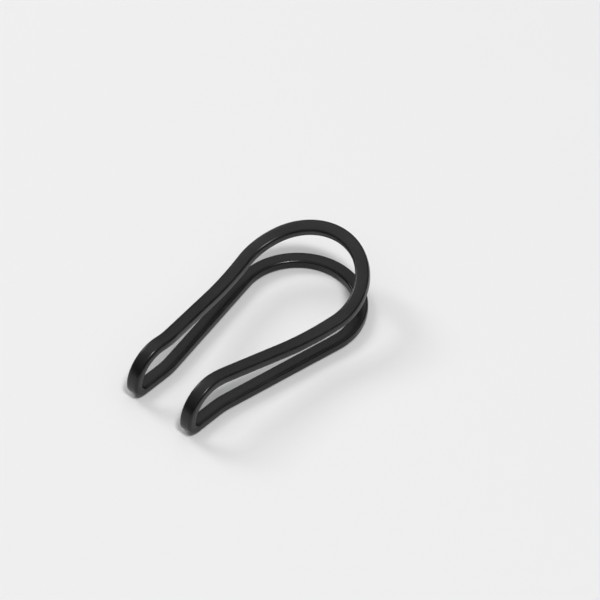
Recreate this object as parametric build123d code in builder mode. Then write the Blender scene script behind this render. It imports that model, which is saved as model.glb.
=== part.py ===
from build123d import *
import math
import os

# Spring money clip: one flat strip of spring steel, formed into a closed keyhole-shaped ring
# and folded in half. The lower half lies flat and is the lower jaw. The upper half falls
# towards it, pinches the folded notes and flares up again at the tip. Both legs of the ring
# wrap round the fold of the notes, and these two bends are the spring.
#
# Frame, in millimetres: +X runs across the clip, +Y from the bends to the tip of the loops,
# and +Z is up. The origin is the middle of the underside of the box that the clip fits in.

# ---- the strip ----
strip_width = 2.8
strip_thickness = 2.0
edge_round = 0.45           # softened corners of the strip's section

# ---- outline seen from above, measured to the middle of the strip ----
clip_length = 52.4          # outside of the bends to the outside of the tip
leg_spacing = 14.0          # between the two parallel legs
loop_diameter = 24.5        # of the round end of the ring
neck_radius = 17.5          # where a leg turns outwards into its arm

# ---- outline seen from the side ----
jaw_gap = 3.2               # between the jaws at the pinch, with a folded wad in place
pinch_distance = 30.6       # from the outside of the bends to the pinch
shoulder_radius = 7.2       # outside of the upper part of each bend
heel_radius = 2.8           # outside of the lower part of each bend
pinch_radius = 44.5         # upper face of the strip, through the pinch
tip_flare = 19.0            # degrees that the tip rises

# ---- heights of the upper face ----
pinch_top = jaw_gap + 2 * strip_thickness
shoulder_top = heel_radius + shoulder_radius

# The arms fall along the straight that touches both the shoulders' and the pinch's arcs.
centre_run = pinch_distance - shoulder_radius
centre_rise = pinch_top + pinch_radius - heel_radius
both_radii = shoulder_radius + pinch_radius
both_slope = math.degrees(math.atan2(centre_rise, centre_run))
both_touch = math.degrees(math.asin(both_radii / math.hypot(centre_run, centre_rise)))
arm_fall = both_touch - both_slope
shoulder_end = shoulder_radius * (1 + math.sin(math.radians(arm_fall)))

# ---- places along Y and across X ----
bend_y = -clip_length / 2
heel_y = bend_y + heel_radius
shoulder_y = bend_y + shoulder_radius
neck_y = bend_y + shoulder_end
pinch_y = bend_y + pinch_distance
loop_radius = loop_diameter / 2
leg_x = leg_spacing / 2

half_width = strip_width / 2
half_thickness = strip_thickness / 2
loop_y = clip_length / 2 - half_width - loop_radius

# The arm is the straight that touches both the neck's arc and the round end.
neck_centre = (leg_x + neck_radius, neck_y)
loop_centre = (0, loop_y)
centre_distance = math.dist(neck_centre, loop_centre)
centre_slope = math.atan2(loop_y - neck_y, neck_centre[0])
arm_heading = math.degrees(centre_slope - math.acos((neck_radius + loop_radius) / centre_distance))


def keyhole(grow, start_y):
    """Inside of the ring seen from above, grown from the middle of the strip by a distance."""
    with BuildSketch() as shape:
        with BuildLine():
            base = Line((0, start_y), (leg_x + grow, start_y))
            neck = CenterArc(neck_centre, neck_radius - grow, 180, -arm_heading)
            head = CenterArc(loop_centre, loop_radius + grow, -arm_heading, 90 + arm_heading)
            Line(base @ 1, neck @ 0)
            Line(neck @ 1, head @ 0)
            mirror(about=Plane.YZ)
        make_face()
    return shape.sketch


def ring(start_y):
    """The strip's keyhole seen from above, open at the ends of its two legs."""
    with BuildSketch() as shape:
        add(keyhole(half_width, start_y))
        add(keyhole(-half_width, start_y), mode=Mode.SUBTRACT)
    return shape.sketch


def under_arm(depth):
    """Side view, drawn flat, of all that lies under a face at a depth in the upper jaw."""
    with BuildSketch() as shape:
        with BuildLine():
            shoulder = CenterArc((shoulder_y, heel_radius), shoulder_radius - depth, 90, -arm_fall)
            valley = CenterArc(
                (pinch_y, pinch_top + pinch_radius),
                pinch_radius + depth,
                270 - arm_fall,
                arm_fall + tip_flare,
            )
            Line(shoulder @ 1, valley @ 0)
            tip = PolarLine(valley @ 1, clip_length / 2, tip_flare)
            past_tip_y = (tip @ 1).X
            Polyline(tip @ 1, (past_tip_y, 0), (shoulder_y, 0), shoulder @ 0)
        make_face()
    return shape.sketch


def long_edges(piece):
    """The edges along the strip: all but the straight ones across it and down its ends."""
    return piece.edges().filter_by(Axis.X, reverse=True).filter_by(Axis.Z, reverse=True)


# ---- lower loop: the flat lower jaw, which the clip also lies on ----
with BuildPart() as lower_loop:
    add(ring(heel_y))
    extrude(amount=strip_thickness)
    fillet(long_edges(lower_loop), radius=edge_round)

# ---- upper loop: the same keyhole, bent to fall, pinch and flare ----
with BuildPart() as upper_loop:
    add(ring(shoulder_y))
    extrude(amount=clip_length)
    with BuildSketch(Plane.YZ):
        add(under_arm(0))
        add(under_arm(strip_thickness), mode=Mode.SUBTRACT)
    extrude(amount=clip_length, both=True, mode=Mode.INTERSECT)
    fillet(long_edges(upper_loop), radius=edge_round)

# ---- bends: the two spring bends round the fold of the notes ----
bends = {}
for name, side in (("left_bend", -1), ("right_bend", 1)):
    with BuildPart() as bend:
        with BuildLine(Plane.YZ.offset(side * leg_x)) as middle:
            CenterArc((heel_y, heel_radius), heel_radius - half_thickness, 270, -90)
            CenterArc((shoulder_y, heel_radius), shoulder_radius - half_thickness, 180, -90)
        foot = (side * leg_x, heel_y, half_thickness)
        with BuildSketch(Plane(foot, x_dir=(1, 0, 0), z_dir=(0, -1, 0))):
            RectangleRounded(strip_width, strip_thickness, edge_round)
        sweep(path=middle.wires()[0])
    bends[name] = bend

# ---- one file per node ----
os.makedirs("parts", exist_ok=True)

lower_loop.part.label = "lower_loop"
export_step(lower_loop.part, "parts/lower_loop.step")

upper_loop.part.label = "upper_loop"
export_step(upper_loop.part, "parts/upper_loop.step")

for name, bend in bends.items():
    bend.part.label = name
    export_step(bend.part, f"parts/{name}.step")

print(f"bend centres: heel y {heel_y:.3f}, shoulder y {shoulder_y:.3f}, z {heel_radius:.3f}")
print(f"shoulder top {shoulder_top:.3f}, pinch y {pinch_y:.3f}")
print(f"arm heading {arm_heading:.2f} degrees, arm fall {arm_fall:.2f} degrees")
print(f"underside reaches y {loop_y + loop_radius + half_width:.3f}, loop middle y {loop_y:.3f}")
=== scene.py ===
"""Money clip: the looks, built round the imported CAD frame.

The clip is one strip of spring steel with a satin black coating. Each CAD node gets a piece
with the same centre line and a finer section: slightly crowned faces and softened corners.
Along the upper jaw the section stands square to the slope, as on a strip that was bent.
Everything is in metres, in the CAD frame: +X across, +Y from the bends to the tip, +Z up.
"""

import math

import bmesh
import bpy
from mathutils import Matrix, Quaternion, Vector


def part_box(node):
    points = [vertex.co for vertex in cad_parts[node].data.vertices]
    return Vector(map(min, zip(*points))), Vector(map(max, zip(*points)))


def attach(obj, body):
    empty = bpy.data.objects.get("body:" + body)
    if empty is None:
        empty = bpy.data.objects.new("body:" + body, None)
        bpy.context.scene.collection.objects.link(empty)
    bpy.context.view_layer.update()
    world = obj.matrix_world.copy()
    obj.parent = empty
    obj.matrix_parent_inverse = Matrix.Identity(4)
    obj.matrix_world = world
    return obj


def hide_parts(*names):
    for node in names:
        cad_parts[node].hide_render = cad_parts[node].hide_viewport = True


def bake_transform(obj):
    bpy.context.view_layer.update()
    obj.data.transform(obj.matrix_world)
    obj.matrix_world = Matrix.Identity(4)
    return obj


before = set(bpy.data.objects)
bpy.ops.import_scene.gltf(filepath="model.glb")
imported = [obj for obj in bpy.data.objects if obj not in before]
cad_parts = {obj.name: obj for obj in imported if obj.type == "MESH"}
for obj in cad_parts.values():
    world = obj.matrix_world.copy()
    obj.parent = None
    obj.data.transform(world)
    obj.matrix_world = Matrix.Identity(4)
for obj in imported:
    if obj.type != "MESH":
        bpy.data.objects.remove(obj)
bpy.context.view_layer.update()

MM = 0.001

# ---- sizes that the frame gives ----
lower_low, lower_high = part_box("lower_loop")
upper_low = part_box("upper_loop")[0]
bend_low, bend_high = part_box("right_bend")

strip_width = bend_high.x - bend_low.x
strip_thickness = lower_high.z - lower_low.z
leg_x = (bend_high.x + bend_low.x) / 2
loop_radius = lower_high.x - strip_width / 2
loop_y = lower_high.y - strip_width / 2 - loop_radius
bend_y = bend_low.y
heel_y = lower_low.y
shoulder_y = upper_low.y
heel_radius = heel_y - bend_y
shoulder_radius = shoulder_y - bend_y
pinch_top = upper_low.z + strip_thickness

# ---- shape of the keyhole and of the side view, as the strip was formed ----
neck_radius = 17.5 * MM
pinch_y = bend_y + 30.6 * MM
pinch_radius = 44.5 * MM
tip_flare = math.radians(19.0)

# The arms fall along the straight that touches both the shoulders' and the pinch's arcs.
pinch_centre_z = pinch_top + pinch_radius
centre_run = pinch_y - shoulder_y
centre_rise = pinch_centre_z - heel_radius
centre_distance = math.hypot(centre_run, centre_rise)
both_radii = shoulder_radius + pinch_radius
arm_fall = math.asin(both_radii / centre_distance) - math.atan2(centre_rise, centre_run)
neck_y = shoulder_y + shoulder_radius * math.sin(arm_fall)

# ---- the strip's section ----
corner_radius = 0.46 * MM
face_crown = 0.035 * MM
side_crown = 0.06 * MM
corner_steps = 7
wide_steps = 8
side_steps = 4
ring_spacing = 0.25 * MM


# ---------------------------------------------------------------- centre line


def arm_heading():
    """Angle from +Y of the straight arm that touches both the neck and the round end."""
    across = leg_x + neck_radius
    along = loop_y - neck_y
    reach = math.hypot(across, along)
    return math.atan2(along, across) - math.acos((neck_radius + loop_radius) / reach)


def spaced(length):
    """Even fractions from 0 to 1, about one ring spacing apart."""
    steps = max(2, round(length / ring_spacing))
    return [i / steps for i in range(steps + 1)]


def half_keyhole(start_y):
    """Stations (x, y, nx, ny, along) of the strip's middle from a right leg to the tip."""
    heading = arm_heading()
    stations = []
    along = 0.0

    def station(x, y, nx, ny, distance):
        stations.append((x, y, nx, ny, distance))

    leg = neck_y - start_y
    for f in spaced(leg):
        station(leg_x, start_y + leg * f, 1, 0, leg * f)
    along += leg

    for f in spaced(neck_radius * heading)[1:]:
        turn = heading * f
        x = leg_x + neck_radius * (1 - math.cos(turn))
        y = neck_y + neck_radius * math.sin(turn)
        station(x, y, math.cos(turn), -math.sin(turn), along + neck_radius * turn)
    along += neck_radius * heading

    arm_start = Vector(stations[-1][:2])
    arm_end = Vector((loop_radius * math.cos(heading), loop_y - loop_radius * math.sin(heading)))
    arm = (arm_end - arm_start).length
    for f in spaced(arm)[1:]:
        x, y = arm_start.lerp(arm_end, f)
        station(x, y, math.cos(heading), -math.sin(heading), along + arm * f)
    along += arm

    sweep_angle = math.pi / 2 + heading
    for f in spaced(loop_radius * sweep_angle)[1:]:
        angle = sweep_angle * f - heading
        nx, ny = math.cos(angle), math.sin(angle)
        distance = along + loop_radius * sweep_angle * f
        station(loop_radius * nx, loop_y + loop_radius * ny, nx, ny, distance)
    return stations


def keyhole(start_y):
    """Stations of the whole ring, from the right leg round the tip to the left leg."""
    right = half_keyhole(start_y)
    length = right[-1][4]
    left = [(-x, y, -nx, ny, 2 * length - along) for x, y, nx, ny, along in right[-2::-1]]
    return right + left


def upper_face(y):
    """Height of the upper jaw's upper face at y, and its slope, as an angle in radians."""
    if y < neck_y:
        turned = math.asin((y - shoulder_y) / shoulder_radius)
        return heel_radius + shoulder_radius * math.cos(turned), -turned
    across_valley = (y - pinch_y) / pinch_radius
    slope = math.asin(min(max(across_valley, -math.sin(arm_fall)), math.sin(tip_flare)))
    past_valley = y - pinch_y - pinch_radius * math.sin(slope)
    height = pinch_centre_z - pinch_radius * math.cos(slope) + past_valley * math.tan(slope)
    return height, slope


# ---------------------------------------------------------------- section


def strip_section():
    """Points (across, depth, corner) round the strip. Corner is 1 on a corner and 0 on a face."""
    half_width = strip_width / 2
    half_depth = strip_thickness / 2
    flat_width = half_width - corner_radius
    flat_depth = half_depth - corner_radius
    points = []
    for quarter, (sx, sy) in enumerate(((1, -1), (1, 1), (-1, 1), (-1, -1))):
        start = -math.pi / 2 + quarter * math.pi / 2
        for i in range(corner_steps + 1):
            angle = start + math.pi / 2 * i / corner_steps
            corner = math.sin(math.pi * i / corner_steps)
            a = sx * flat_width + corner_radius * math.cos(angle)
            d = sy * flat_depth + corner_radius * math.sin(angle)
            points.append((a, d, corner))
        last = points[-1]
        steps = side_steps if quarter % 2 == 0 else wide_steps
        span = 2 * (flat_depth if quarter % 2 == 0 else flat_width)
        dx, dy = ((0, 1), (-1, 0), (0, -1), (1, 0))[quarter]
        for i in range(1, steps):
            step = span * i / steps
            points.append((last[0] + dx * step, last[1] + dy * step, 0.0))
    crowned = []
    for a, d, corner in points:
        narrowed = a * (1 - side_crown / half_width * (d / half_depth) ** 2)
        thinned = d * (1 - face_crown / half_depth * (a / half_width) ** 2)
        crowned.append((narrowed, half_depth + thinned, corner))
    return crowned


# ---------------------------------------------------------------- pieces


def sweep(name, stations, place, along_start):
    """A closed strip piece: one ring of section points for each station, with flat ends.

    place gives the position of a section point at a station. The piece keeps where each point
    is along, across and into the strip, in millimetres, for its material."""
    section = strip_section()
    count = len(section)
    bm = bmesh.new()
    strip_place = bm.verts.layers.float_vector.new("strip_place")
    corner_layer = bm.verts.layers.float.new("strip_corner")
    rings = []
    for station in stations:
        ring = []
        for across, depth, corner in section:
            vertex = bm.verts.new(place(station, across, depth))
            along = along_start + station[-1]
            vertex[strip_place] = (along / MM, across / MM, depth / MM)
            vertex[corner_layer] = corner
            ring.append(vertex)
        rings.append(ring)
    for near, far in zip(rings, rings[1:]):
        for i in range(count):
            j = (i + 1) % count
            bm.faces.new((near[i], near[j], far[j], far[i])).smooth = True
    for ring in (rings[0], rings[-1]):
        end = bm.faces.new(ring)
        for edge in end.edges:
            edge.smooth = False
    bmesh.ops.recalc_face_normals(bm, faces=bm.faces)
    mesh = bpy.data.meshes.new(name)
    bm.to_mesh(mesh)
    bm.free()
    piece = bpy.data.objects.new(name, mesh)
    bpy.context.scene.collection.objects.link(piece)
    return piece


def place_upper(station, across, depth):
    x, y, nx, ny, _ = station
    height, slope = upper_face(y)
    up = Vector((0, -math.sin(slope), math.cos(slope)))
    along = Vector((-ny, nx, nx * math.tan(slope))).normalized()
    return Vector((x, y, height)) + along.cross(up) * across - up * depth


def place_lower(station, across, depth):
    x, y, nx, ny, _ = station
    return x + nx * across, y + ny * across, depth


def bend_stations():
    """Stations (dy, dz, along) from the heel to the shoulder: directions out of the arcs."""
    middle = strip_thickness / 2
    heel = (heel_radius - middle) * math.pi / 2
    shoulder = (shoulder_radius - middle) * math.pi / 2
    stations = []
    for f in spaced(heel):
        angle = math.pi / 2 * f
        stations.append((-math.sin(angle), -math.cos(angle), heel * f))
    for f in spaced(shoulder)[1:]:
        angle = math.pi / 2 * f
        stations.append((-math.cos(angle), math.sin(angle), heel + shoulder * f))
    return stations


def place_bend(side):
    """Placing for the bend on one side: 1 for the right bend, -1 for the left."""

    def place(station, across, depth):
        dy, dz, _ = station
        radius, centre_y = heel_radius, heel_y
        if dz > 0:
            radius, centre_y = shoulder_radius, shoulder_y
        reach = radius - depth
        return side * (leg_x + across), centre_y + dy * reach, heel_radius + dz * reach

    return place


# ---------------------------------------------------------------- material


def strip_attribute(tree, name):
    """A node that reads what a piece keeps at each of its points."""
    node = tree.nodes.new("ShaderNodeAttribute")
    node.attribute_name = name
    return node


def noise(tree, place, scale, detail, stretch):
    """Noise in the strip's own millimetres, drawn out along it by the stretch."""
    mapping = tree.nodes.new("ShaderNodeMapping")
    mapping.inputs["Scale"].default_value = (1 / stretch, 1, 1)
    texture = tree.nodes.new("ShaderNodeTexNoise")
    texture.inputs["Scale"].default_value = scale
    texture.inputs["Detail"].default_value = detail
    tree.links.new(place, mapping.inputs["Vector"])
    tree.links.new(mapping.outputs["Vector"], texture.inputs["Vector"])
    return texture.outputs["Fac"]


def spread(tree, value, low, high, to_low, to_high):
    """A value between low and high, spread to between to_low and to_high."""
    node = tree.nodes.new("ShaderNodeMapRange")
    node.inputs["From Min"].default_value = low
    node.inputs["From Max"].default_value = high
    node.inputs["To Min"].default_value = to_low
    node.inputs["To Max"].default_value = to_high
    tree.links.new(value, node.inputs["Value"])
    return node.outputs["Result"]


def combine(tree, operation, a, b):
    """A sum, difference or product of two values, the second of which may be a number."""
    node = tree.nodes.new("ShaderNodeMath")
    node.operation = operation
    tree.links.new(a, node.inputs[0])
    if isinstance(b, float):
        node.inputs[1].default_value = b
    else:
        tree.links.new(b, node.inputs[1])
    return node.outputs["Value"]


def mixed(tree, factor, a, b):
    """Two colours mixed by a factor. The first may come from another node."""
    node = tree.nodes.new("ShaderNodeMix")
    node.data_type = "RGBA"
    tree.links.new(factor, node.inputs["Factor"])
    if isinstance(a, tuple):
        node.inputs["A"].default_value = a
    else:
        tree.links.new(a, node.inputs["A"])
    node.inputs["B"].default_value = b
    return node.outputs["Result"]


def bump(tree, height, strength, distance):
    """A bump node for a height."""
    node = tree.nodes.new("ShaderNodeBump")
    node.inputs["Strength"].default_value = strength
    node.inputs["Distance"].default_value = distance
    tree.links.new(height, node.inputs["Height"])
    return node


def black_coating():
    """Satin black coating on steel: fine grain, soft mottling, and wear along the corners."""
    material = bpy.data.materials.new("black_coating")
    material.use_nodes = True
    tree = material.node_tree
    shader = tree.nodes["Principled BSDF"]
    place = strip_attribute(tree, "strip_place").outputs["Vector"]
    corner = strip_attribute(tree, "strip_corner").outputs["Fac"]

    mottling = noise(tree, place, 0.35, 3.0, 2.5)
    grain = noise(tree, place, 9.0, 4.0, 1.0)
    scuffs = noise(tree, place, 2.2, 5.0, 5.0)

    dark_coat = (0.0045, 0.0043, 0.0046, 1)
    pale_coat = (0.0100, 0.0093, 0.0090, 1)
    worn_coat = (0.075, 0.071, 0.068, 1)
    coat = mixed(tree, spread(tree, mottling, 0.35, 0.65, 0.0, 1.0), dark_coat, pale_coat)
    worn_spots = spread(tree, scuffs, 0.52, 0.72, 0.0, 1.0)
    on_corners = spread(tree, corner, 0.55, 1.0, 0.0, 1.0)
    wear = combine(tree, "MULTIPLY", worn_spots, on_corners)
    colour = mixed(tree, combine(tree, "MULTIPLY", wear, 0.35), coat, worn_coat)
    tree.links.new(colour, shader.inputs["Base Color"])

    grain_sheen = spread(tree, grain, 0.3, 0.7, 0.25, 0.33)
    mottled_sheen = spread(tree, mottling, 0.3, 0.7, -0.04, 0.04)
    roughness = combine(tree, "ADD", grain_sheen, mottled_sheen)
    for smoothing, amount in ((on_corners, 0.07), (wear, 0.04)):
        smoother = combine(tree, "MULTIPLY", smoothing, amount)
        roughness = combine(tree, "SUBTRACT", roughness, smoother)
    tree.links.new(roughness, shader.inputs["Roughness"])
    shader.inputs["IOR"].default_value = 1.5
    shader.inputs["Specular IOR Level"].default_value = 0.38

    fine = bump(tree, grain, 0.35, 0.004 * MM)
    broad = bump(tree, scuffs, 0.5, 0.012 * MM)
    tree.links.new(fine.outputs["Normal"], broad.inputs["Normal"])
    tree.links.new(broad.outputs["Normal"], shader.inputs["Normal"])
    return material


# ---------------------------------------------------------------- the clip

stations = bend_stations()
bend_length = stations[-1][-1]
upper_stations = keyhole(shoulder_y)
upper_length = upper_stations[-1][-1]
lower_stations = keyhole(heel_y)
lower_length = lower_stations[-1][-1]

# Distances run once round the ring: right bend, upper loop, left bend, lower loop.
right_stations = stations
left_stations = [(dy, dz, bend_length - along) for dy, dz, along in stations]
lower_round = [(x, y, nx, ny, lower_length - a) for x, y, nx, ny, a in lower_stations]
upper_start = bend_length
left_start = upper_start + upper_length
lower_start = left_start + bend_length

coating = black_coating()
clip = {
    "upper_loop": sweep("upper_jaw_loop", upper_stations, place_upper, upper_start),
    "lower_loop": sweep("lower_jaw_loop", lower_round, place_lower, lower_start),
    "right_bend": sweep("right_spring_bend", right_stations, place_bend(1), 0.0),
    "left_bend": sweep("left_spring_bend", left_stations, place_bend(-1), left_start),
}
for node, piece in clip.items():
    piece.data.materials.append(coating)
    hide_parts(node)

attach(clip["upper_loop"], "upper_jaw")
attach(clip["lower_loop"], "lower_jaw")
for node in ("left_bend", "right_bend"):
    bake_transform(clip[node])


# ---------------------------------------------------------------- studio


def floor():
    """A plain pale floor that the clip lies on."""
    mesh = bpy.data.meshes.new("floor")
    size = 2.0
    corners = [(-size, -size, 0), (size, -size, 0), (size, size, 0), (-size, size, 0)]
    mesh.from_pydata(corners, [], [(0, 1, 2, 3)])
    plane = bpy.data.objects.new("floor", mesh)
    bpy.context.scene.collection.objects.link(plane)
    material = bpy.data.materials.new("floor_white")
    material.use_nodes = True
    shader = material.node_tree.nodes["Principled BSDF"]
    shader.inputs["Base Color"].default_value = (0.86, 0.86, 0.86, 1)
    shader.inputs["Roughness"].default_value = 0.9
    shader.inputs["Specular IOR Level"].default_value = 0.1
    mesh.materials.append(material)


def softbox(name, direction, distance, width, height, radiance):
    """A flat light of an even brightness, facing the clip from a direction."""
    light = bpy.data.lights.new(name, "AREA")
    light.shape = "RECTANGLE"
    light.size = width
    light.size_y = height
    light.energy = math.pi * width * height * radiance
    lamp = bpy.data.objects.new(name, light)
    away = Vector(direction).normalized()
    lamp.location = away * distance
    lamp.rotation_mode = "QUATERNION"
    lamp.rotation_quaternion = away.to_track_quat("Z", "Y")
    bpy.context.scene.collection.objects.link(lamp)


def sky():
    """Room light: bright overhead, dim near the horizon."""
    world = bpy.data.worlds.new("studio")
    world.use_nodes = True
    bpy.context.scene.world = world
    nodes, links = world.node_tree.nodes, world.node_tree.links
    background = nodes["Background"]
    direction = nodes.new("ShaderNodeTexCoord")
    split = nodes.new("ShaderNodeSeparateXYZ")
    ramp = nodes.new("ShaderNodeValToRGB")
    horizon, overhead = ramp.color_ramp.elements
    horizon.position, horizon.color = 0.30, (0.05, 0.05, 0.05, 1)
    overhead.position, overhead.color = 0.80, (0.50, 0.50, 0.51, 1)
    links.new(direction.outputs["Generated"], split.inputs["Vector"])
    links.new(split.outputs["Z"], ramp.inputs["Fac"])
    links.new(ramp.outputs["Color"], background.inputs["Color"])


def camera():
    """Looks down on the clip from its front right, from far away through a long lens."""
    azimuth = math.radians(42.8)
    elevation = math.radians(46.2)
    roll = math.radians(0.17)
    distance = 0.801
    aim = Vector((0.0002, 0.0130, 0.0023))
    level = math.cos(elevation)
    back = Vector((math.sin(azimuth) * level, -math.cos(azimuth) * level, math.sin(elevation)))
    data = bpy.data.cameras.new("camera")
    data.sensor_width = 36
    data.lens = 248.9
    data.clip_end = 10
    view = bpy.data.objects.new("camera", data)
    view.location = aim + back * distance
    view.rotation_mode = "QUATERNION"
    view.rotation_quaternion = back.to_track_quat("Z", "Y") @ Quaternion((0, 0, 1), roll)
    bpy.context.scene.collection.objects.link(view)
    bpy.context.scene.camera = view


floor()
sky()
# Each light's direction from the clip, its distance and two sides in metres, and its brightness.
softbox("top", (0.35, -0.1, 0.93), 1.2, 0.22, 0.22, 42.0)
softbox("key", (-0.82, 0.0, 0.57), 1.2, 0.4, 0.4, 9.5)
softbox("backdrop", (-0.47, 0.40, 0.80), 1.2, 1.1, 1.1, 0.3)
camera()
bpy.context.scene.view_settings.view_transform = "Standard"
